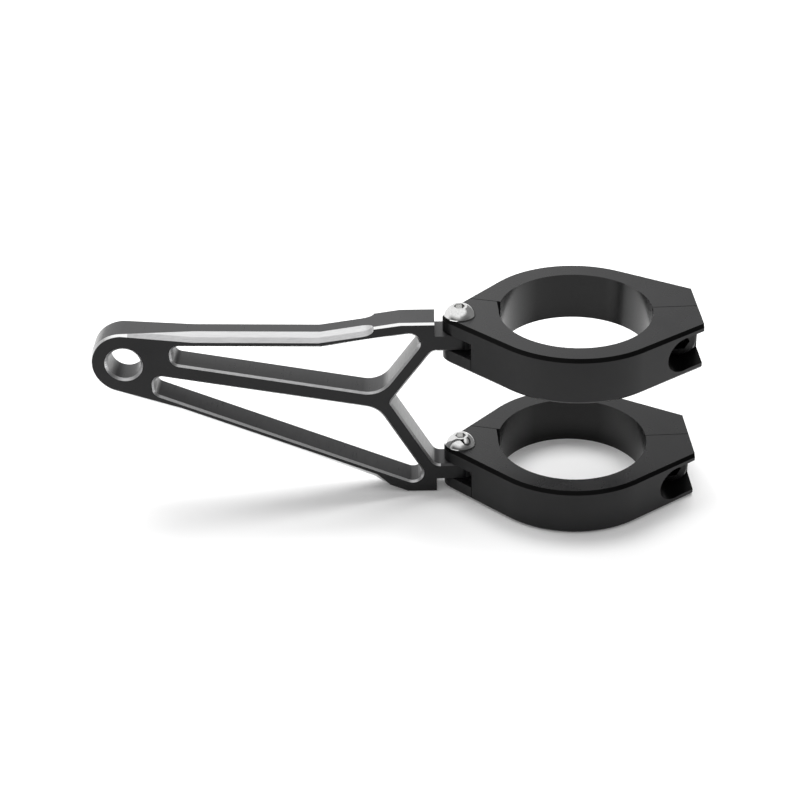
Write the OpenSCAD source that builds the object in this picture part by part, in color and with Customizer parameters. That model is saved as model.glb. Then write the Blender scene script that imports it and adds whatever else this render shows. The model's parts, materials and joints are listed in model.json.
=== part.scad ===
// Headlight mounting bracket: a skeleton arm with a lamp hole at one end and, at the other, two fork
// clamps that swing on a shared upright pivot axis. Each clamp is split in two halves.
// Origin: centre of the lower clamp's bore, at its bottom face. +Z runs up the fork tube, the arm
// reaches out along -X, and +Y is the back.

/* [Fork clamps] */
// Diameter of the fork tube that the clamps grip
fork_d = 46; // [43:0.5:49]
// Height of each clamp
clamp_h = 14.8; // [13:0.2:18]
// Wall of the ring round the bore
clamp_wall = 7.2; // [6:0.1:9]
// Height from the lower clamp's bottom to the upper clamp's top
overall_h = 60; // [54:1:80]
// Bevel along the clamps' outer edges
clamp_bevel = 1; // [0.4:0.1:1.2]
// Gap between the two halves of a clamp
seam_gap = 0.25; // [0.15:0.05:0.5]
// Half angle of the hinge wedge, seen from the bore
seam_angle = 17.5; // [15:0.5:19]
// Width of each clamp's flat free end
end_w = 24; // [20:1:28]
// Angle that the clamps are swung back from the arm's line
clamp_turn = 2.5; // [0:0.5:10]

/* [Clamp bolts] */
// Thread diameter of the clamp bolts
bolt_d = 6; // [5:0.5:6]
// Diameter of the socket head
bolt_head_d = 10; // [9:0.5:10]
// Height of the socket head
bolt_head_h = 6; // [5:0.5:6]
// Length of the bolt under its head
bolt_l = 16; // [14:1:18]
// Hexagon socket, across flats
bolt_hex = 5; // [4:0.5:5]
// Wall between the bore and the bolt's hole
bolt_wall = 4.3; // [3.5:0.1:5]
// From the bolt's axis to the clamp's flat end
bolt_margin = 6.2; // [5.5:0.1:7]
// Depth from the seam to the face that the head sits on
seat_depth = 2.2; // [1.5:0.1:3]
// Clearance round the head in its counterbore
head_gap = 0.4; // [0.2:0.1:0.6]

/* [Pivot] */
// From the bore's wall to the pivot axis
pivot_wall = 11.7; // [11:0.1:14]
// Radius of the hinge ears about the pivot axis
ear_r = 5.1; // [4.8:0.1:5.6]
// Thickness of the arm's tongues
tongue_t = 5.1; // [4:0.1:5.5]
// Running gap between a tongue and each ear
hinge_gap = 0.15; // [0.1:0.05:0.3]
// Thread diameter of the pivot screws
pivot_d = 5; // [4:0.5:5]
// Running clearance of the pivot screw, on the radius
pivot_gap = 0.05; // [0.03:0.01:0.08]
// Diameter of the button head
button_d = 9.5; // [8:0.5:9.5]
// Height of the button head
button_h = 2.75; // [2.2:0.05:2.8]
// Hexagon socket of the button head, across flats
button_hex = 3; // [2.5:0.5:3]

/* [Arm] */
// Length of the arm from its rounded end to its shoulder
arm_l = 102.5; // [95:0.5:120]
// Thickness of the plate
arm_t = 9.5; // [8:0.5:10]
// Distance from the shoulder to the pivot axis
shoulder_gap = 7.5; // [7.2:0.1:9]
// How far the arm stops short of the clamps' outer faces
arm_inset = 0.4; // [0:0.1:1]
// Radius of the rounded end
boss_r = 10; // [9:0.5:11]
// Diameter of the lamp's hole
lamp_hole_d = 10; // [8:0.5:10]
// Bevel of the lamp's hole
hole_bevel = 0.7; // [0.5:0.1:1.2]
// Rise of the arm's long top edge from the shoulder to the lamp hole
arm_rise = 2; // [0:0.1:4]
// Drop of the arm's long top edge below its shoulder
top_drop = 4.3; // [3:0.1:6]
// Length of the level top edge at the shoulder
shoulder_l = 10.3; // [9:0.1:14]
// Length of the slope beside it
slope_l = 23.7; // [20:0.1:30]
// Length of the flat foot at the shoulder
foot_l = 9; // [8:0.5:12]

/* [Skeleton] */
// Thickness of the top bar
top_bar = 4; // [3.8:0.1:5]
// Thickness of the bottom bar
bottom_bar = 3.7; // [3.5:0.1:5]
// Thickness of the middle strut
strut_t = 5; // [4:0.1:6]
// Thickness of the strut to the upper tongue
upper_strut_t = 4.2; // [3.5:0.1:5]
// Thickness of the strut to the lower tongue
lower_strut_t = 4.5; // [3.5:0.1:5]
// Distance from the pivot axis to where the struts meet
fork_x = 23.7; // [21:0.1:28]
// Height of the struts' meeting point above the clamps' bottom
fork_z = 32.7; // [31:0.1:34]
// Distance from the pivot axis to where the two short struts aim, at mid tongue
strut_foot_x = 9.1; // [8.5:0.1:10]
// Distance from the lamp hole's axis to the upper opening's end
upper_web = 14.3; // [13:0.1:18]
// Distance from the lamp hole's axis to the lower opening's end
lower_web = 8.2; // [8:0.1:12]
// Radius of the openings' ends near the lamp hole
end_fillet = 2.5; // [2:0.1:2.6]
// Radius of the large inside corners where the struts meet
fork_fillet = 8; // [6:0.5:9]
// Radius of the small inside corners at the tongues
tongue_fillet = 3; // [2.5:0.1:3.5]

/* [Bevels] */
// Bevel round the openings and along the narrow edges
edge_bevel = 0.6; // [0.4:0.1:1]
// Wide bevel along the long top edge
wide_bevel = 2.5; // [1.8:0.1:2.6]
// Wide bevel along the long lower edge
bottom_bevel = 2.1; // [1.6:0.1:2.4]
// Length over which the wide bevels grow from the rounded end
bevel_growth = 21; // [15:1:30]
// Distance from the shoulder to the end of the top's wide bevel
bevel_end = 18; // [15:0.5:20]
// Radius of its run-out
bevel_runout = 3.6; // [2.5:0.1:4]
// Distance from the shoulder to the end of the lower edge's wide bevel
bottom_bevel_end = 14.7; // [12:0.5:18]
// Length of its run-out
bottom_runout = 5; // [3:0.5:7]
// Width that the lower edge's bevel runs out to
edge_break = 0.15; // [0.1:0.05:0.3]

/* [Hidden] */

$fn = 96;
eps = 0.05;
far = 200;
arc_steps = 10;
boss_steps = 40;

fork_r = fork_d / 2;
ring_r = fork_r + clamp_wall;
pivot_x = fork_r + pivot_wall;
bolt_x = fork_r + bolt_wall + bolt_d / 2;
end_x = bolt_x + bolt_margin;
upper_z = overall_h - clamp_h;
ear_t = (clamp_h - tongue_t) / 2 - hinge_gap;
thread_gap = 0.05;
bolt_gap = 0.3;
// The relief's flat crosses the bore's wall near the hinge wedge's middle
relief_x = fork_r - 0.1;
relief_turn = 1;

pivot_l = clamp_h - 0.9;
socket_depth = 1.7;
button_edge = 0.3;
button_flat_r = 2.3;
bolt_socket_depth = 3;
bolt_edge = 0.6;

// The arm is drawn flat from the pivot axis and the clamps' bottom: x towards the clamps, y up
arm_bottom = arm_inset;
arm_top = overall_h - arm_inset;
shoulder_x = -shoulder_gap;
hole_x = shoulder_x - arm_l + boss_r;
low_top = arm_top - top_drop;
rise = arm_rise / (shoulder_x - hole_x);
rise_angle = atan(rise);
// Point of the long top edge at x
function top_at(x) = [x, low_top + rise * (shoulder_x - x)];
lamp_hole = top_at(hole_x) - [0, boss_r / cos(rise_angle)];
hole_z = lamp_hole.y;
foot = [shoulder_x - foot_l, arm_bottom];
slope_top = [shoulder_x - shoulder_l, arm_top];
slope_foot = top_at(slope_top.x - slope_l);
fork_point = [-fork_x, fork_z];
upper_tongue_z = upper_z + ear_t + hinge_gap;
lower_tongue_z = ear_t + hinge_gap;
upper_aim = [-strut_foot_x, upper_tongue_z + tongue_t / 2];
lower_aim = [-strut_foot_x, lower_tongue_z + tongue_t / 2];

function unit(v) = v / norm(v);
function left_of(v) = [-v.y, v.x];
function polar(r, a) = [r * cos(a), r * sin(a)];

// Point at distance d to the left of the corner b of a path a, b, c, on both neighbouring lines
function mitre(a, b, c, d) =
    let (n1 = left_of(unit(b - a)), n2 = left_of(unit(c - b)))
    b + d * (n1 + n2) / (1 + n1 * n2);

// Where the line through p, along u, meets the line through q, along v
function meet(p, u, q, v) = p + u * (left_of(v) * (q - p)) / (left_of(v) * u);

// A line as [point, direction], moved by d to its left
function shifted(a, b, d) = [a + d * left_of(unit(b - a)), unit(b - a)];
function crossing(k, l) = meet(k[0], k[1], l[0], l[1]);

// The corner b between a and c, rounded with radius r
function rounded(a, b, c, r) =
    let (u = unit(a - b), v = unit(c - b), half = acos(u * v) / 2)
    let (centre = b + unit(u + v) * r / sin(half), start = b + u * r / tan(half) - centre)
    let (turn = cross(b - a, c - b) > 0 ? 180 - 2 * half : 2 * half - 180)
    [for (i = [0 : arc_steps]) centre + polar(r, atan2(start.y, start.x) + turn * i / arc_steps)];

function xy(p) = [p.x, p.y];

// An opening's outline from its corners [x, y, radius], grown outwards by d
function opening_outline(corners, d = 0) =
    let (n = len(corners), c = [for (p = corners) xy(p)])
    let (g = [for (i = [0 : n - 1]) mitre(c[(i + n - 1) % n], c[i], c[(i + 1) % n], -d)])
    [for (i = [0 : n - 1])
        each corners[i][2] == 0
            ? [g[i]]
            : rounded(g[(i + n - 1) % n], g[i], g[(i + 1) % n], corners[i][2] + d)];

// Angle at which the straight bottom edge touches the rounded end
foot_to_hole = lamp_hole - foot;
touch_a = atan2(-foot_to_hole.y, -foot_to_hole.x) - acos(boss_r / norm(foot_to_hole));
touch = lamp_hole + polar(boss_r, touch_a);
bottom_dir = unit(foot - touch);
slope_dir = unit(slope_foot - slope_top);

// Run-out of the top's wide bevel at a share k: [distance along the edge, width]
function runout(k) =
    [bevel_runout * (1 - cos(90 * k)), edge_bevel + (wide_bevel - edge_bevel) * sin(90 * k)];

runout_steps = 5;
slope_run = (bevel_end - shoulder_l) / -slope_dir.x;
bottom_run = (shoulder_x - bottom_bevel_end - touch.x) / bottom_dir.x;
tongue_end = arm_t / 2 + 2;
lower_tongue_top = lower_tongue_z + tongue_t;
upper_tongue_top = upper_tongue_z + tongue_t;

// The arm's bevelled edge from the shoulder's top round the boss to the foot, as [x, y, bevel].
// Its stations lie beside the outline's corners, so that no cut runs exactly through an edge, and
// the cutter reaches past the outline by more than it cuts across those corners
function station(p, w) = [p.x, p.y, w];
boss_from = 90 - rise_angle;
boss_sweep = touch_a + 360 - boss_from;
function on_boss(k) = lamp_hole + polar(boss_r, boss_from + boss_sweep * k / boss_steps);
beside = 0.4;
cut_margin = 0.3;
boss_lead = 2;
function lead_bevel(w) = edge_bevel + (w - edge_bevel) * boss_lead / bevel_growth;
bevelled_edge = concat(
    [station([shoulder_x, arm_top], edge_bevel), station(slope_top + [beside, 0], edge_bevel)],
    [for (i = [0 : runout_steps]) let (r = runout(i / runout_steps))
        station(slope_top + slope_dir * (slope_run + r[0]), r[1])],
    [station(slope_foot - [beside, 0], wide_bevel),
     station(top_at(hole_x + bevel_growth), wide_bevel),
     station(top_at(hole_x + boss_lead), lead_bevel(wide_bevel))],
    [for (i = [0 : boss_steps - 1]) station(on_boss(i + 0.5), edge_bevel)],
    [station(touch + bottom_dir * boss_lead, lead_bevel(bottom_bevel)),
     station(touch + bottom_dir * bevel_growth, bottom_bevel),
     station(touch + bottom_dir * (bottom_run - bottom_runout), bottom_bevel),
     station(touch + bottom_dir * bottom_run, edge_break)]
);
arm_outline = concat(
    [[shoulder_x, arm_top], slope_top, slope_foot],
    [for (i = [0 : boss_steps]) on_boss(i)],
    [
        foot,
        [shoulder_x, arm_bottom],
        [shoulder_x, lower_tongue_z],
        [tongue_end, lower_tongue_z],
        [tongue_end, upper_tongue_top],
        [shoulder_x, upper_tongue_top]
    ]
);

// Lines that bound the openings, each with the opening on its left
top_line = shifted(slope_foot, top_at(hole_x), top_bar);
slope_line = shifted(slope_top, slope_foot, top_bar);
strut_over = shifted(lamp_hole, fork_point, strut_t / 2);
strut_under = shifted(fork_point, lamp_hole, strut_t / 2);
bottom_line = shifted(touch, foot, bottom_bar);
upper_strut_left = shifted(fork_point, upper_aim, upper_strut_t / 2);
upper_strut_right = shifted(upper_aim, fork_point, upper_strut_t / 2);
lower_strut_left = shifted(lower_aim, fork_point, lower_strut_t / 2);
lower_strut_right = shifted(fork_point, lower_aim, lower_strut_t / 2);
upper_end_line = [[hole_x + upper_web, 0], [0, -1]];
lower_end_line = [[hole_x + lower_web, 0], [0, -1]];

function corner(k, l, r) = let (p = crossing(k, l)) [p.x, p.y, r];

upper_opening = [
    corner(upper_end_line, strut_over, end_fillet),
    corner(strut_over, upper_strut_left, fork_fillet),
    corner(upper_strut_left, slope_line, tongue_fillet),
    corner(slope_line, top_line, 0),
    corner(top_line, upper_end_line, end_fillet)
];
lower_opening = [
    corner(lower_end_line, bottom_line, end_fillet),
    corner(bottom_line, lower_strut_left, tongue_fillet),
    corner(lower_strut_left, strut_under, fork_fillet),
    corner(strut_under, lower_end_line, end_fillet)
];
// The gap between the tongues, open to the right
throat_top = upper_tongue_z;
throat_bottom = lower_tongue_top;
throat_x = tongue_end + 2;
throat_upper = [[0, throat_top], [-1, 0]];
throat_lower = [[0, throat_bottom], [1, 0]];
throat = [
    [throat_x, throat_bottom, 0],
    [throat_x, throat_top, 0],
    corner(throat_upper, upper_strut_right, tongue_fillet),
    corner(upper_strut_right, lower_strut_right, 1.2),
    corner(lower_strut_right, throat_lower, tongue_fillet)
];

// A closed solid through a list of rings that have equally many points
module loft(rings) {
    n = len(rings[0]);
    last = len(rings) - 1;
    polyhedron(
        points = [for (r = rings) each r],
        faces = concat(
            [[for (i = [0 : n - 1]) i]],
            [[for (i = [n - 1 : -1 : 0]) last * n + i]],
            [for (k = [0 : last - 1], i = [0 : n - 1])
                let (a = k * n + i, b = k * n + (i + 1) % n)
                [a, a + n, b + n, b]]
        )
    );
}

function at_height(points, z) = [for (p = points) [p.x, p.y, z]];

// The strip that bevels the plate's outer edge on its upper face
module edge_bevel_cut() {
    n = len(bevelled_edge);
    path = [for (p = bevelled_edge) xy(p)];
    before = path[0] + [1, 0];
    beyond = path[n - 1] + bottom_dir;
    loft([
        for (i = [0 : n - 1])
            let (w = bevelled_edge[i][2], end = i == 0 ? [eps, 0] : [0, 0])
            let (a = i == 0 ? before : path[i - 1], c = i == n - 1 ? beyond : path[i + 1])
            let (inner = end + mitre(a, path[i], c, w + eps))
            let (outer = end + mitre(a, path[i], c, -cut_margin))
            [
                [inner.x, inner.y, arm_t / 2 + eps],
                [outer.x, outer.y, arm_t / 2 + eps],
                [outer.x, outer.y, arm_t / 2 - w - cut_margin]
            ]
    ]);
}

// An opening cut through the plate, bevelled on both faces
module opening_cut(corners) {
    straight = opening_outline(corners);
    wide = opening_outline(corners, edge_bevel + eps);
    loft([
        at_height(wide, -arm_t / 2 - eps),
        at_height(straight, edge_bevel - arm_t / 2),
        at_height(straight, arm_t / 2 - edge_bevel),
        at_height(wide, arm_t / 2 + eps)
    ]);
}

// Plan of what is cut away round the tongues' ends, a touch wider than the plate
module tongue_end_cut() {
    r = arm_t / 2 + 0.03;
    linear_extrude(overall_h)
        polygon(concat(
            [[0, -r - 1], [0, -r]],
            [for (i = [-arc_steps + 1 : arc_steps - 1]) polar(r, 90 * i / arc_steps)],
            [[0, r], [0, r + 1], [tongue_end + 1, r + 1], [tongue_end + 1, -r - 1]]
        ));
}

module lamp_hole_cut() {
    translate([hole_x, hole_z, 0]) {
        cylinder(h = 2 * arm_t, r = lamp_hole_d / 2, center = true);
        for (side = [0, 1])
            mirror([0, 0, side])
                translate([0, 0, arm_t / 2 - hole_bevel])
                    cylinder(h = hole_bevel + eps, r1 = lamp_hole_d / 2,
                             r2 = lamp_hole_d / 2 + hole_bevel + eps);
    }
}

module at_pivot() {
    rotate([0, 0, clamp_turn])
        translate([-pivot_x, 0, 0])
            rotate([0, 0, -clamp_turn])
                children();
}

module bracket_arm() {
    color([0.16, 0.16, 0.17])
        at_pivot()
            difference() {
                rotate([90, 0, 0])
                    difference() {
                        linear_extrude(arm_t, center = true) polygon(arm_outline);
                        for (side = [0, 1])
                            mirror([0, 0, side]) edge_bevel_cut();
                        opening_cut(upper_opening);
                        opening_cut(lower_opening);
                        opening_cut(throat);
                        lamp_hole_cut();
                    }
                tongue_end_cut();
                translate([0, 0, -1]) cylinder(h = overall_h, r = pivot_d / 2 + pivot_gap);
            }
}

// The whole clamp's outer form: ring, ears and flat end in one convex block
module bevelled_disc(r) {
    cylinder(h = clamp_h, r = r - clamp_bevel);
    translate([0, 0, clamp_bevel]) cylinder(h = clamp_h - 2 * clamp_bevel, r = r);
}

module clamp_form() {
    hull() {
        bevelled_disc(ring_r);
        translate([-pivot_x, 0, 0]) bevelled_disc(ear_r);
        translate([fork_r, -end_w / 2, clamp_bevel])
            cube([end_x - fork_r, end_w, clamp_h - 2 * clamp_bevel]);
        translate([fork_r, clamp_bevel - end_w / 2, 0])
            cube([end_x - fork_r, end_w - 2 * clamp_bevel, clamp_h]);
    }
}

// Plan of all that lies behind the seam: the straight seam on the right, a ray on the left
module behind_seam() {
    g = seam_gap / 2;
    a = 180 - seam_angle;
    inner = polar(fork_r / 2, a) + g * left_of(polar(1, a));
    polygon([[fork_r / 2, -g], [far, -g], [far, far], [-far, far], polar(far, a) + inner, inner]);
}

// Plan of the wedge that only the ear reaches into
module ear_wedge() {
    inner = fork_r / 2;
    a = 180 + seam_angle;
    g = seam_gap / 2;
    end = g * left_of(polar(1, a));
    polygon([polar(inner, 160), polar(far, 160), polar(far, a) + end, polar(inner, a) + end]);
}

// One half of a clamp, with its ear at the top and its seam towards +Y
module half_blank() {
    difference() {
        clamp_form();
        translate([0, 0, -1]) cylinder(h = clamp_h + 2, r = fork_r);
        translate([0, 0, -2]) linear_extrude(clamp_h + 4) behind_seam();
        translate([0, 0, -3]) linear_extrude(clamp_h - ear_t + 3) ear_wedge();
        rotate([0, 0, relief_turn])
            translate([-relief_x, 0, -5]) cube([relief_x - 8, far, clamp_h + 10]);
    }
}

// Cut for the bolt's head: a counterbore that is open to the clamp's flat end
module head_cut() {
    r = bolt_head_d / 2 + head_gap;
    translate([bolt_x, -seat_depth, clamp_h / 2]) rotate([90, 0, 0]) cylinder(h = far, r = r);
    translate([bolt_x, -far - seat_depth, clamp_h / 2 - r + 0.1])
        cube([far, far, 2 * r - 0.2]);
}

module cross_hole(r, from_y, to_y) {
    translate([bolt_x, to_y, clamp_h / 2])
        rotate([90, 0, 0])
            cylinder(h = to_y - from_y, r = r);
}

module clamp_front() {
    color([0.13, 0.13, 0.14])
        difference() {
            half_blank();
            head_cut();
            cross_hole(bolt_d / 2 + bolt_gap, -seat_depth - 1, 1);
            translate([-pivot_x, 0, -1])
                cylinder(h = clamp_h + 2, r = pivot_d / 2 + pivot_gap);
        }
}

module clamp_back() {
    color([0.15, 0.15, 0.16])
        difference() {
            translate([0, 0, clamp_h]) rotate([180, 0, 0]) half_blank();
            cross_hole(bolt_d / 2 + thread_gap, -1, bolt_l - seat_depth + 1);
            translate([-pivot_x, 0, -1])
                cylinder(h = clamp_h + 2, r = pivot_d / 2 + thread_gap);
        }
}

function hex_r(flats) = flats / sqrt(3);

// Button-head screw, head down to z = 0 and shank below
module pivot_screw() {
    dome_z = (pow(button_d / 2, 2) + pow(button_edge, 2) - pow(button_flat_r, 2) - pow(button_h, 2))
             / (2 * (button_edge - button_h));
    dome_r = norm([button_d / 2, button_edge - dome_z]);
    color([0.78, 0.78, 0.79])
        difference() {
            union() {
                intersection() {
                    cylinder(h = button_h, r = button_d / 2);
                    translate([0, 0, dome_z]) sphere(r = dome_r);
                }
                translate([0, 0, -pivot_l]) cylinder(h = pivot_l + 1, r = pivot_d / 2);
            }
            translate([0, 0, button_h - socket_depth])
                cylinder(h = socket_depth + 1, r = hex_r(button_hex), $fn = 6);
        }
}

// Socket-head bolt along +Y, with its head's underside at y = 0
module clamp_bolt() {
    r = bolt_head_d / 2;
    color([0.1, 0.1, 0.1])
        rotate([90, 0, 0])
            difference() {
                union() {
                    cylinder(h = bolt_head_h - bolt_edge, r = r);
                    translate([0, 0, bolt_head_h - bolt_edge])
                        cylinder(h = bolt_edge, r1 = r, r2 = r - bolt_edge);
                    translate([0, 0, -bolt_l]) cylinder(h = bolt_l + 1, r = bolt_d / 2);
                }
                translate([0, 0, bolt_head_h - bolt_socket_depth])
                    cylinder(h = bolt_socket_depth + 1, r = hex_r(bolt_hex), $fn = 6);
            }
}

module turned(z) {
    rotate([0, 0, clamp_turn]) translate([0, 0, z]) children();
}

module screw_at(z) {
    turned(z + clamp_h) translate([-pivot_x, 0, 0]) pivot_screw();
}

module bolt_at(z) {
    turned(z + clamp_h / 2) translate([bolt_x, -seat_depth, 0]) clamp_bolt();
}

bracket_arm();
turned(upper_z) clamp_front();  // upper_clamp_front
turned(upper_z) clamp_back();  // upper_clamp_back
turned(0) clamp_front();  // lower_clamp_front
turned(0) clamp_back();  // lower_clamp_back
screw_at(upper_z);  // upper_pivot_screw
screw_at(0);  // lower_pivot_screw
bolt_at(upper_z);  // upper_clamp_bolt
bolt_at(0);  // lower_clamp_bolt
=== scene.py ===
"""Studio look of the headlight mounting bracket.

A skeleton arm in black anodised aluminium with bright cut bevels, two split fork clamps, and their
screws and bolts, on a white floor. Lengths are metres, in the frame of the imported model.
"""

import json
import math

import bmesh
import bpy
from mathutils import Matrix, Vector


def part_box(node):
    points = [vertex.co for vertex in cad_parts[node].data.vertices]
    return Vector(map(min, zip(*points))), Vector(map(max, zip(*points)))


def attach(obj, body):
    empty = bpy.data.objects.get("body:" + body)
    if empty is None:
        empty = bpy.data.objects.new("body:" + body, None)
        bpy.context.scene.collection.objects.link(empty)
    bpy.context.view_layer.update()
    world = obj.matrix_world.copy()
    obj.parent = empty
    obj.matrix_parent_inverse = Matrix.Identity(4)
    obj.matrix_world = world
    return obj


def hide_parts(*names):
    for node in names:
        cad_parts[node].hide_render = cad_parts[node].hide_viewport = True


MM = 0.001
CLAMPS = ("upper_clamp", "lower_clamp")

# Camera, with its angles in degrees
IMAGE_WIDTH = 800
FOCAL_PX = 1763.4
PRINCIPAL_X_PX = 461.8
SENSOR_MM = 36
NEAR_CLIP = 0.01
CAMERA_AT = (-0.04141, -0.46197, 0.30899)
CAMERA_TURN = 0.900
CAMERA_DROP = 31.185
CAMERA_ROLL = -0.444

# Light
FILL = 0.66
# The studio as gloss shows it: white to the left, behind and overhead, darker towards the right,
# and dark low down on the camera's side. Each stop is a direction's x and its level.
STUDIO_STOPS = ((-0.02, 1.0), (0.13, 0.58), (0.28, 0.36), (0.60, 0.24))
CAMERA_SIDE = 0.12
# A direction's y or z where each part of the studio begins, and where it is full.
CAMERA_SIDE_Y = (0.05, -0.45)
CAMERA_SIDE_Z = (0.78, 0.45)
OVERHEAD_Z = (0.72, 0.86)
SOFTBOX_AT = (-0.08, 0.36, 0.92)
SOFTBOX_AIM = (-0.04, 0, 0)
SOFTBOX_SIZE = (1.0, 0.6)
SOFTBOX_POWER = 10.8

# Floor
FLOOR_COLOUR = 0.92
FLOOR_GLOW = 0.06
FLOOR_SIZE = 6.0

# Shading of the pieces, with angles in degrees
MERGE = 0.002 * MM
FLAT_WITHIN = 0.3
SMOOTH_BELOW = 25
ARM_SMOOTH_BELOW = 14
FULL_WEIGHT = 100

# Where most of a noise pattern's values lie
NOISE_RANGE = (0.3, 0.7)

# Textures of the finishes: repeats in a metre along each axis, and depths
CLOUDS = (90, 90, 90)
GRAIN = (9000, 9000, 9000)
GRAIN_DEPTH = 0.004 * MM
BORING_RINGS = (40, 40, 2600)
RING_DEPTH = 0.003 * MM
MILL_TRACKS = (1800, 200, 1800)
TRACK_DEPTH = 0.006 * MM
CUTTER_STREAKS = (160, 5000, 5000)
STREAK_DEPTH = 0.006 * MM
HAIRLINES = (2500, 2500, 9000)
HAIRLINE_DEPTH = 0.003 * MM

# How far the roughness goes up and down within a finish
CLOUD_SWING = 0.04
TRACK_SWING = 0.08

# A normal's x where the painted light on a wall's sides begins, and where it is full
LIT_BORE_SIDES = (0.45, 0.85)
LIT_STRUT_SIDES = (0.55, 0.85)

# The wide bevels' lighter band, painted into the colour deeper from the arm's face: the depths where it begins and
# is full, and its colours
LIGHTER_BAND = (1.1 * MM, 1.35 * MM)
LIGHTER_BAND_DARK = (0.80, 0.80, 0.81)
LIGHTER_BAND_BRIGHT = (0.95, 0.95, 0.95)

# Which face of a piece is which: sizes of a normal's part along an axis
SQUARE_ON = 0.95
SEAM_SQUARE_ON = 0.9
PART_WAY = 0.3
POCKET_WALL = 0.5

# The same by place: distances from the pivot, the lamp hole, the arm's nearer face, a bolt's box,
# the clamps' middle and the bore's wall
TONGUE_LENGTH = 5.8 * MM
SHOULDER_RISE = 0.9 * MM
BOSS_END = 5.3 * MM
NARROW_DEPTH = 0.5 * MM
POCKET_MARGIN = 0.6 * MM
SEAM_REACH = 1.5 * MM
BORE_REACH = 0.5 * MM

# Places of the materials in a piece's list
ARM_FACE, NARROW_BEVEL, WIDE_BEVEL, ARM_WALL, SHADED_OPENING_BEVEL, LIT_SHOULDER_BEVEL = range(6)
CLAMP_TOP, CLAMP_EDGE_AND_SHADE, CLAMP_FLANK, CLAMP_BORE = range(4)
SCREW_STEEL = 0


# Node helpers


def grey(level):
    return (level, level, level, 1)


def feed(tree, socket, value):
    """Links a socket to another node's output, or sets it to a plain value."""
    if isinstance(value, bpy.types.NodeSocket):
        tree.links.new(value, socket)
    else:
        socket.default_value = value


def maths(tree, operation, *values):
    """The result of one operation on outputs or plain numbers."""
    node = tree.nodes.new("ShaderNodeMath")
    node.operation = operation
    for socket, value in zip(node.inputs, values):
        feed(tree, socket, value)
    return node.outputs[0]


def mixed(tree, share, first, second):
    """A colour that goes from first to second as share goes from 0 to 1."""
    node = tree.nodes.new("ShaderNodeMix")
    node.data_type = "RGBA"
    feed(tree, node.inputs["Factor"], share)
    feed(tree, node.inputs["A"], first)
    feed(tree, node.inputs["B"], second)
    return node.outputs["Result"]


def spread(tree, value, low, high, over=NOISE_RANGE):
    """value mapped to low..high over a range, and held at low or high outside it."""
    node = tree.nodes.new("ShaderNodeMapRange")
    node.inputs["From Min"].default_value, node.inputs["From Max"].default_value = over
    node.inputs["To Min"].default_value = low
    node.inputs["To Max"].default_value = high
    tree.links.new(value, node.inputs["Value"])
    return node.outputs["Result"]


def tint(tree, pattern, dark, bright):
    """A colour between dark and bright, by a noise pattern."""
    return mixed(tree, spread(tree, pattern, 0, 1), (*dark, 1), (*bright, 1))


def axes(tree, coordinates):
    """The x, y and z of one kind of texture coordinates."""
    place = tree.nodes.new("ShaderNodeTexCoord")
    apart = tree.nodes.new("ShaderNodeSeparateXYZ")
    tree.links.new(place.outputs[coordinates], apart.inputs["Vector"])
    return tuple(apart.outputs)


def noise(tree, scale, detail=3.0, roughness=0.5):
    """Noise over the object's own coordinates, stretched by scale per axis, as a 0 to 1 output."""
    place = tree.nodes.new("ShaderNodeTexCoord")
    mapping = tree.nodes.new("ShaderNodeMapping")
    mapping.inputs["Scale"].default_value = scale
    texture = tree.nodes.new("ShaderNodeTexNoise")
    texture.inputs["Scale"].default_value = 1.0
    texture.inputs["Detail"].default_value = detail
    texture.inputs["Roughness"].default_value = roughness
    tree.links.new(place.outputs["Object"], mapping.inputs["Vector"])
    tree.links.new(mapping.outputs["Vector"], texture.inputs["Vector"])
    return texture.outputs["Fac"]


def bump(tree, shader, height, depth):
    node = tree.nodes.new("ShaderNodeBump")
    node.inputs["Strength"].default_value = 1.0
    node.inputs["Distance"].default_value = depth
    tree.links.new(height, node.inputs["Height"])
    tree.links.new(node.outputs["Normal"], shader.inputs["Normal"])


def seen_directly(tree):
    """1 for rays that show the background: the camera's, and those in gloss and glass."""
    path = tree.nodes.new("ShaderNodeLightPath")
    total = path.outputs["Is Camera Ray"]
    for name in ("Is Glossy Ray", "Is Transmission Ray"):
        total = maths(tree, "MAXIMUM", total, path.outputs[name])
    return total


def sideways(tree, over):
    """1 where a surface faces along the arm and 0 where it faces another way: its normal's x."""
    along, _, _ = axes(tree, "Normal")
    return spread(tree, maths(tree, "ABSOLUTE", along), 0, 1, over)


def depth_from_face(tree):
    """Distance in metres from the nearer face of the arm's plate."""
    _, across, _ = axes(tree, "Object")
    from_middle = maths(tree, "ABSOLUTE", maths(tree, "SUBTRACT", across, pivot.y))
    return maths(tree, "SUBTRACT", arm_half, from_middle)


# Camera


def add_camera():
    turn, drop, roll = (math.radians(a) for a in (CAMERA_TURN, CAMERA_DROP, CAMERA_ROLL))
    ahead = Vector(
        (math.sin(turn) * math.cos(drop), math.cos(turn) * math.cos(drop), -math.sin(drop))
    )
    level_right = Vector((math.cos(turn), -math.sin(turn), 0))
    level_up = level_right.cross(ahead)
    right = math.cos(roll) * level_right + math.sin(roll) * level_up
    up = -math.sin(roll) * level_right + math.cos(roll) * level_up
    data = bpy.data.cameras.new("camera")
    data.sensor_width = SENSOR_MM
    data.lens = FOCAL_PX / IMAGE_WIDTH * SENSOR_MM
    data.shift_x = (IMAGE_WIDTH / 2 - PRINCIPAL_X_PX) / IMAGE_WIDTH
    data.clip_start = NEAR_CLIP
    camera = bpy.data.objects.new("camera", data)
    turned = Matrix((right, up, -ahead)).transposed().to_4x4()
    camera.matrix_world = Matrix.Translation(CAMERA_AT) @ turned
    bpy.context.scene.collection.objects.link(camera)
    bpy.context.scene.camera = camera


# Light


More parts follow.
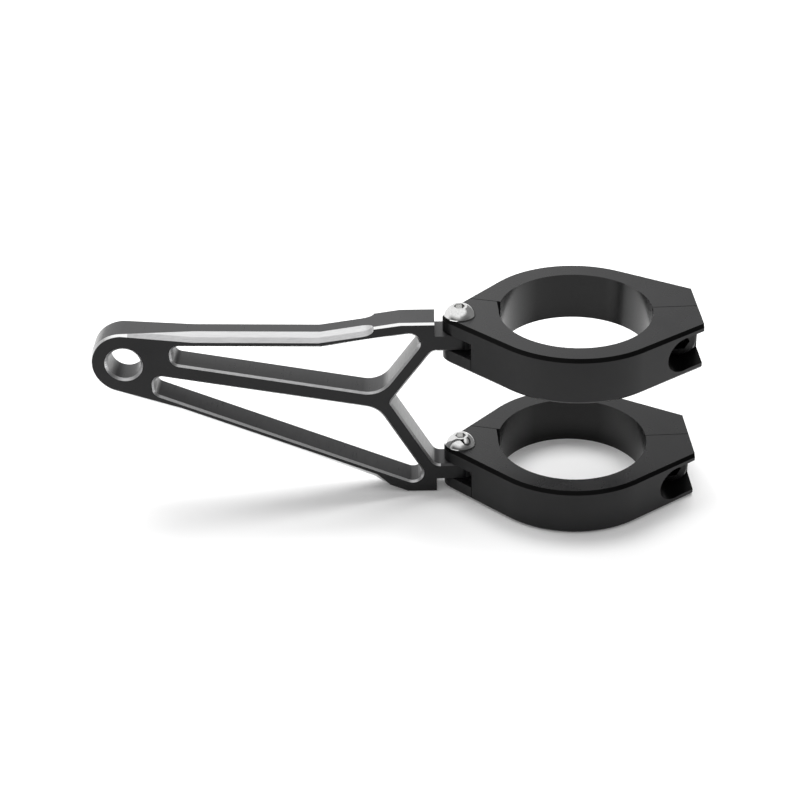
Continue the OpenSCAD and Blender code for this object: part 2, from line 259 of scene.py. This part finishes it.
def studio_ramp(tree, x):
    """Level of the studio by a direction's x."""
    ramp = tree.nodes.new("ShaderNodeValToRGB")
    ramp.color_ramp.interpolation = "EASE"
    stops = ramp.color_ramp.elements
    while len(stops) < len(STUDIO_STOPS):
        stops.new(0.5)
    for stop, (place, level) in zip(stops, STUDIO_STOPS):
        stop.position = (place + 1) / 2
        stop.color = grey(level)
    tree.links.new(spread(tree, x, 0, 1, (-1, 1)), ramp.inputs["Fac"])
    return ramp.outputs["Color"]


def studio_level(tree):
    """Level of the studio in a ray's direction."""
    x, y, z = axes(tree, "Generated")
    front = spread(tree, y, 0, 1, CAMERA_SIDE_Y)
    low = spread(tree, z, 0, 1, CAMERA_SIDE_Z)
    around = mixed(
        tree, maths(tree, "MULTIPLY", front, low), studio_ramp(tree, x), grey(CAMERA_SIDE)
    )
    return mixed(tree, spread(tree, z, 0, 1, OVERHEAD_Z), around, grey(1))


def set_world():
    world = bpy.data.worlds.new("studio")
    world.use_nodes = True
    tree = world.node_tree
    shade = tree.nodes["Background"]
    level = mixed(tree, seen_directly(tree), grey(FILL), studio_level(tree))
    tree.links.new(level, shade.inputs["Color"])
    shade.inputs["Strength"].default_value = 1.0
    bpy.context.scene.world = world


def add_softbox():
    """A light from above and behind, which gloss doesn't show."""
    data = bpy.data.lights.new("overhead", "AREA")
    data.shape = "RECTANGLE"
    data.size, data.size_y = SOFTBOX_SIZE
    data.energy = SOFTBOX_POWER
    light = bpy.data.objects.new("overhead", data)
    light.location = SOFTBOX_AT
    light.rotation_mode = "QUATERNION"
    light.rotation_quaternion = (Vector(SOFTBOX_AIM) - Vector(SOFTBOX_AT)).to_track_quat("-Z", "Y")
    light.visible_glossy = False
    bpy.context.scene.collection.objects.link(light)


# Floor


def floor_material():
    """Matt white, with a little light of its own where it is seen directly."""
    material = bpy.data.materials.new("white_floor")
    material.use_nodes = True
    tree = material.node_tree
    tree.nodes.clear()
    out = tree.nodes.new("ShaderNodeOutputMaterial")
    diffuse = tree.nodes.new("ShaderNodeBsdfDiffuse")
    diffuse.inputs["Color"].default_value = grey(FLOOR_COLOUR)
    glow = tree.nodes.new("ShaderNodeEmission")
    glow.inputs["Color"].default_value = grey(1)
    strength = maths(tree, "MULTIPLY", seen_directly(tree), FLOOR_GLOW)
    tree.links.new(strength, glow.inputs["Strength"])
    both = tree.nodes.new("ShaderNodeAddShader")
    tree.links.new(diffuse.outputs[0], both.inputs[0])
    tree.links.new(glow.outputs[0], both.inputs[1])
    tree.links.new(both.outputs[0], out.inputs["Surface"])
    return material


def add_floor():
    half = FLOOR_SIZE / 2
    corners = [(-half, -half, 0), (half, -half, 0), (half, half, 0), (-half, half, 0)]
    mesh = bpy.data.meshes.new("floor")
    mesh.from_pydata(corners, [], [(0, 1, 2, 3)])
    floor = bpy.data.objects.new("floor", mesh)
    floor.data.materials.append(floor_material())
    bpy.context.scene.collection.objects.link(floor)


# Materials


def new_material(name):
    material = bpy.data.materials.new(name)
    material.use_nodes = True
    tree = material.node_tree
    return material, tree, tree.nodes["Principled BSDF"]


def black_anodised(name, dark, bright, roughness, specular):
    """Anodised aluminium: a fine matt grain with faint cloudy patches."""
    material, tree, shader = new_material(name)
    clouds = noise(tree, CLOUDS, detail=4)
    grain = noise(tree, GRAIN, detail=2)
    tree.links.new(tint(tree, clouds, dark, bright), shader.inputs["Base Color"])
    rough = spread(tree, clouds, roughness - CLOUD_SWING, roughness + CLOUD_SWING)
    tree.links.new(rough, shader.inputs["Roughness"])
    shader.inputs["Metallic"].default_value = 0.0
    shader.inputs["Specular IOR Level"].default_value = specular
    bump(tree, shader, grain, GRAIN_DEPTH)
    return material


def bored(name, dark, bright, roughness, middle_specular, lit_side_specular):
    """Anodised over a bored wall, with fine rings left by the boring bar, and a painted sheen where the wall faces
    along the arm.
    """
    material, tree, shader = new_material(name)
    rings = noise(tree, BORING_RINGS, detail=4, roughness=0.7)
    tree.links.new(tint(tree, rings, dark, bright), shader.inputs["Base Color"])
    shader.inputs["Roughness"].default_value = roughness
    side = sideways(tree, LIT_BORE_SIDES)
    specular = spread(tree, side, middle_specular, lit_side_specular, (0, 1))
    tree.links.new(specular, shader.inputs["Specular IOR Level"])
    bump(tree, shader, rings, RING_DEPTH)
    return material


def milled_wall(name, dark, bright, lit_side_dark, lit_side_bright, roughness, specular):
    """Anodised over the end mill's tracks, with a painted highlight making a wall much lighter where it faces
    sideways.
    """
    material, tree, shader = new_material(name)
    tracks = noise(tree, MILL_TRACKS, detail=5, roughness=0.7)
    level = tint(tree, tracks, dark, bright)
    side = tint(tree, tracks, lit_side_dark, lit_side_bright)
    colour = mixed(tree, sideways(tree, LIT_STRUT_SIDES), level, side)
    tree.links.new(colour, shader.inputs["Base Color"])
    rough = spread(tree, tracks, roughness - TRACK_SWING, roughness + TRACK_SWING)
    tree.links.new(rough, shader.inputs["Roughness"])
    shader.inputs["Specular IOR Level"].default_value = specular
    bump(tree, shader, tracks, TRACK_DEPTH)
    return material


def cut_bevel(name, dark, bright, smooth=0.26, rough=0.42):
    """Bare aluminium, cut after anodising, with the cutter's long streaks."""
    material, tree, shader = new_material(name)
    streaks = noise(tree, CUTTER_STREAKS, detail=5, roughness=0.75)
    # Deeper from the arm's face, on the wide bevels, the colour is painted lighter.
    bevel_tone = tint(tree, streaks, dark, bright)
    lighter_band = tint(tree, streaks, LIGHTER_BAND_DARK, LIGHTER_BAND_BRIGHT)
    deep = spread(tree, depth_from_face(tree), 0, 1, LIGHTER_BAND)
    tree.links.new(mixed(tree, deep, bevel_tone, lighter_band), shader.inputs["Base Color"])
    tree.links.new(spread(tree, streaks, rough, smooth), shader.inputs["Roughness"])
    shader.inputs["Metallic"].default_value = 1.0
    bump(tree, shader, streaks, STREAK_DEPTH)
    return material


def screw_steel(name, dark, bright, smooth, rough):
    """Steel with fine hairlines."""
    material, tree, shader = new_material(name)
    hairlines = noise(tree, HAIRLINES, detail=4)
    tree.links.new(tint(tree, hairlines, dark, bright), shader.inputs["Base Color"])
    tree.links.new(spread(tree, hairlines, smooth, rough), shader.inputs["Roughness"])
    shader.inputs["Metallic"].default_value = 1.0
    bump(tree, shader, hairlines, HAIRLINE_DEPTH)
    return material


# Pieces


def finished_mesh(node, pick, smooth_below):
    """A CAD node's shape with merged corners, smooth rounds and a material for each face."""
    work = bmesh.new()
    work.from_mesh(frame["nodes"][node].data)
    bmesh.ops.remove_doubles(work, verts=work.verts, dist=MERGE)
    bmesh.ops.dissolve_limit(
        work, angle_limit=math.radians(FLAT_WITHIN), verts=work.verts, edges=work.edges
    )
    work.normal_update()
    for face in work.faces:
        face.smooth = True
        face.material_index = pick(face.normal, face.calc_center_median())
    for edge in work.edges:
        shared = len(edge.link_faces) == 2
        edge.smooth = shared and edge.calc_face_angle(0) <= math.radians(smooth_below)
    mesh = bpy.data.meshes.new(node + "_finished")
    work.to_mesh(mesh)
    work.free()
    return mesh


def finished_twin(node, body, materials, pick, smooth_below=SMOOTH_BELOW):
    """A finished piece in the place of a CAD node."""
    mesh = finished_mesh(node, pick, smooth_below)
    for material in materials:
        mesh.materials.append(material)
    piece = bpy.data.objects.new(node + "_finished", mesh)
    piece.matrix_world = frame["nodes"][node].matrix_world.copy()
    bpy.context.scene.collection.objects.link(piece)
    weigh = piece.modifiers.new("weigh_normals", "WEIGHTED_NORMAL")
    weigh.keep_sharp = True
    weigh.weight = FULL_WEIGHT
    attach(piece, body)
    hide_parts(node)


# Arm


def arm_face(normal, centre):
    """Which of the arm's materials a face has."""
    across = abs(normal.y)
    if PART_WAY < across < SQUARE_ON and centre.x < pivot.x - TONGUE_LENGTH:
        if arm_half - abs(centre.y - pivot.y) > NARROW_DEPTH:
            return WIDE_BEVEL
        if centre.x < lamp_hole.x - BOSS_END:
            return NARROW_BEVEL
        # The shoulder's bevel takes a painted highlight, the openings' bevels painted shade.
        return LIT_SHOULDER_BEVEL if centre.z > pivot.z + SHOULDER_RISE else SHADED_OPENING_BEVEL
    return ARM_FACE if across > SQUARE_ON else ARM_WALL


def add_arm():
    face = black_anodised(
        "arm_black", (0.006, 0.006, 0.0065), (0.011, 0.011, 0.0115), roughness=0.38, specular=0.22
    )
    narrow = cut_bevel("narrow_bevel", (0.72, 0.72, 0.73), (0.93, 0.93, 0.93))
    wide = cut_bevel("wide_bevel", (0.50, 0.50, 0.51), (0.70, 0.70, 0.70))
    # Walls that face sideways get a painted highlight.
    wall = milled_wall(
        "arm_wall_black_painted_lit_sides",
        dark=(0.020, 0.020, 0.021),
        bright=(0.036, 0.036, 0.037),
        lit_side_dark=(0.13, 0.13, 0.13),
        lit_side_bright=(0.31, 0.31, 0.31),
        roughness=0.34,
        specular=0.5,
    )
    # The same cut metal, painted darker at the openings as the shade under the bars, and lighter at the shoulder
    # as a highlight.
    opening = cut_bevel("opening_bevel_painted_shade", (0.42, 0.42, 0.43), (0.63, 0.63, 0.63))
    shoulder = cut_bevel(
        "shoulder_bevel_painted_highlight", (0.94, 0.94, 0.94), (1.0, 1.0, 1.0), smooth=0.08, rough=0.16
    )
    finished_twin(
        "bracket_arm",
        "arm",
        [face, narrow, wide, wall, opening, shoulder],
        arm_face,
        ARM_SMOOTH_BELOW,
    )


# Clamps


def beside_bolt(centre):
    """Whether a place is in a clamp's front half, level with the head of its bolt."""
    return centre.y < 0 and any(
        low.x - POCKET_MARGIN < centre.x < high.x + POCKET_MARGIN
        and low.z - POCKET_MARGIN < centre.z < high.z + POCKET_MARGIN
        for low, high in bolt_boxes
    )


def clamp_face(normal, centre):
    """Which of a clamp's materials a face has. The seam and the bolt's pocket take the bevels' near-black, as
    painted shade.
    """
    seam_in_painted_shade = abs(normal.y) > SEAM_SQUARE_ON and abs(centre.y) < SEAM_REACH
    pocket_in_painted_shade = abs(normal.y) < POCKET_WALL and beside_bolt(centre)
    if seam_in_painted_shade or pocket_in_painted_shade:
        return CLAMP_EDGE_AND_SHADE
    upright = abs(normal.z)
    if upright > SQUARE_ON:
        return CLAMP_TOP
    if upright > PART_WAY:
        return CLAMP_EDGE_AND_SHADE
    in_bore = math.hypot(centre.x, centre.y) < bore_radius + BORE_REACH
    return CLAMP_BORE if in_bore else CLAMP_FLANK


def add_clamps():
    top = black_anodised(
        "clamp_faced", (0.006, 0.006, 0.0065), (0.010, 0.010, 0.0105), roughness=0.27, specular=0.54
    )
    # Near-black for the chamfers, also used as painted shade in the seam and the bolt's pocket.
    edge = black_anodised(
        "clamp_edge_black_and_painted_shade",
        (0.002, 0.002, 0.002),
        (0.004, 0.004, 0.004),
        roughness=0.30,
        specular=0.04,
    )
    flank = black_anodised(
        "clamp_flank", (0.005, 0.005, 0.0055), (0.009, 0.009, 0.0095), roughness=0.36, specular=0.25
    )
    # The bores reflect more where they face along the arm: a painted sheen.
    bore = bored(
        "clamp_bore",
        (0.003, 0.003, 0.003),
        (0.008, 0.008, 0.008),
        roughness=0.20,
        middle_specular=0.26,
        lit_side_specular=0.56,
    )
    materials = [top, edge, flank, bore]
    for clamp in CLAMPS:
        for half in ("_front", "_back"):
            finished_twin(clamp + half, clamp, materials, clamp_face)


# Screws and bolts


def screw_face(normal, centre):
    """A screw has one material all over."""
    return SCREW_STEEL


def add_screws():
    stainless = screw_steel("stainless_steel", (0.70, 0.70, 0.70), (0.88, 0.88, 0.87), 0.05, 0.10)
    # The clamp bolts' steel is painted near-black, as the shade in their pockets.
    black = screw_steel("steel_in_painted_shade", (0.02, 0.02, 0.02), (0.04, 0.04, 0.04), 0.25, 0.40)
    for clamp in CLAMPS:
        screw = clamp.replace("clamp", "pivot_screw")
        finished_twin(screw, clamp, [stainless], screw_face)
        finished_twin(clamp + "_bolt", clamp, [black], screw_face)


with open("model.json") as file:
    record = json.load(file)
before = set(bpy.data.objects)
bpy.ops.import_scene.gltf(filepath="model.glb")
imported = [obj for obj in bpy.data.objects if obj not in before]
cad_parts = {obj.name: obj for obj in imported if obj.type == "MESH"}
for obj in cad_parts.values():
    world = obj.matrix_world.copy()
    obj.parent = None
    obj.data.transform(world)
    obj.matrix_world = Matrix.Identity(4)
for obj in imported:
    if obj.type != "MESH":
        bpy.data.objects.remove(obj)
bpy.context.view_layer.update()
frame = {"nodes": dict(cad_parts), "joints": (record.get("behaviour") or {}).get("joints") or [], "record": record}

# Places and sizes in the frame
mounts = {mount["name"]: mount for mount in frame["record"]["mounts"]}
joints = {joint["name"]: joint for joint in frame["joints"]}
pivot = Vector(joints["upper_clamp_swivel"]["pos_m"])
lamp_hole = Vector(mounts["lamp_hole"]["pos_m"])
bore_radius = mounts["upper_fork_clamp"]["dims"]["r_mm"] * MM
arm_low, arm_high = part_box("bracket_arm")
arm_half = (arm_high.y - arm_low.y) / 2
bolt_boxes = [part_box(clamp + "_bolt") for clamp in CLAMPS]

add_camera()
set_world()
add_softbox()
add_floor()
add_arm()
add_clamps()
add_screws()

bpy.context.scene.view_settings.view_transform = "Standard"
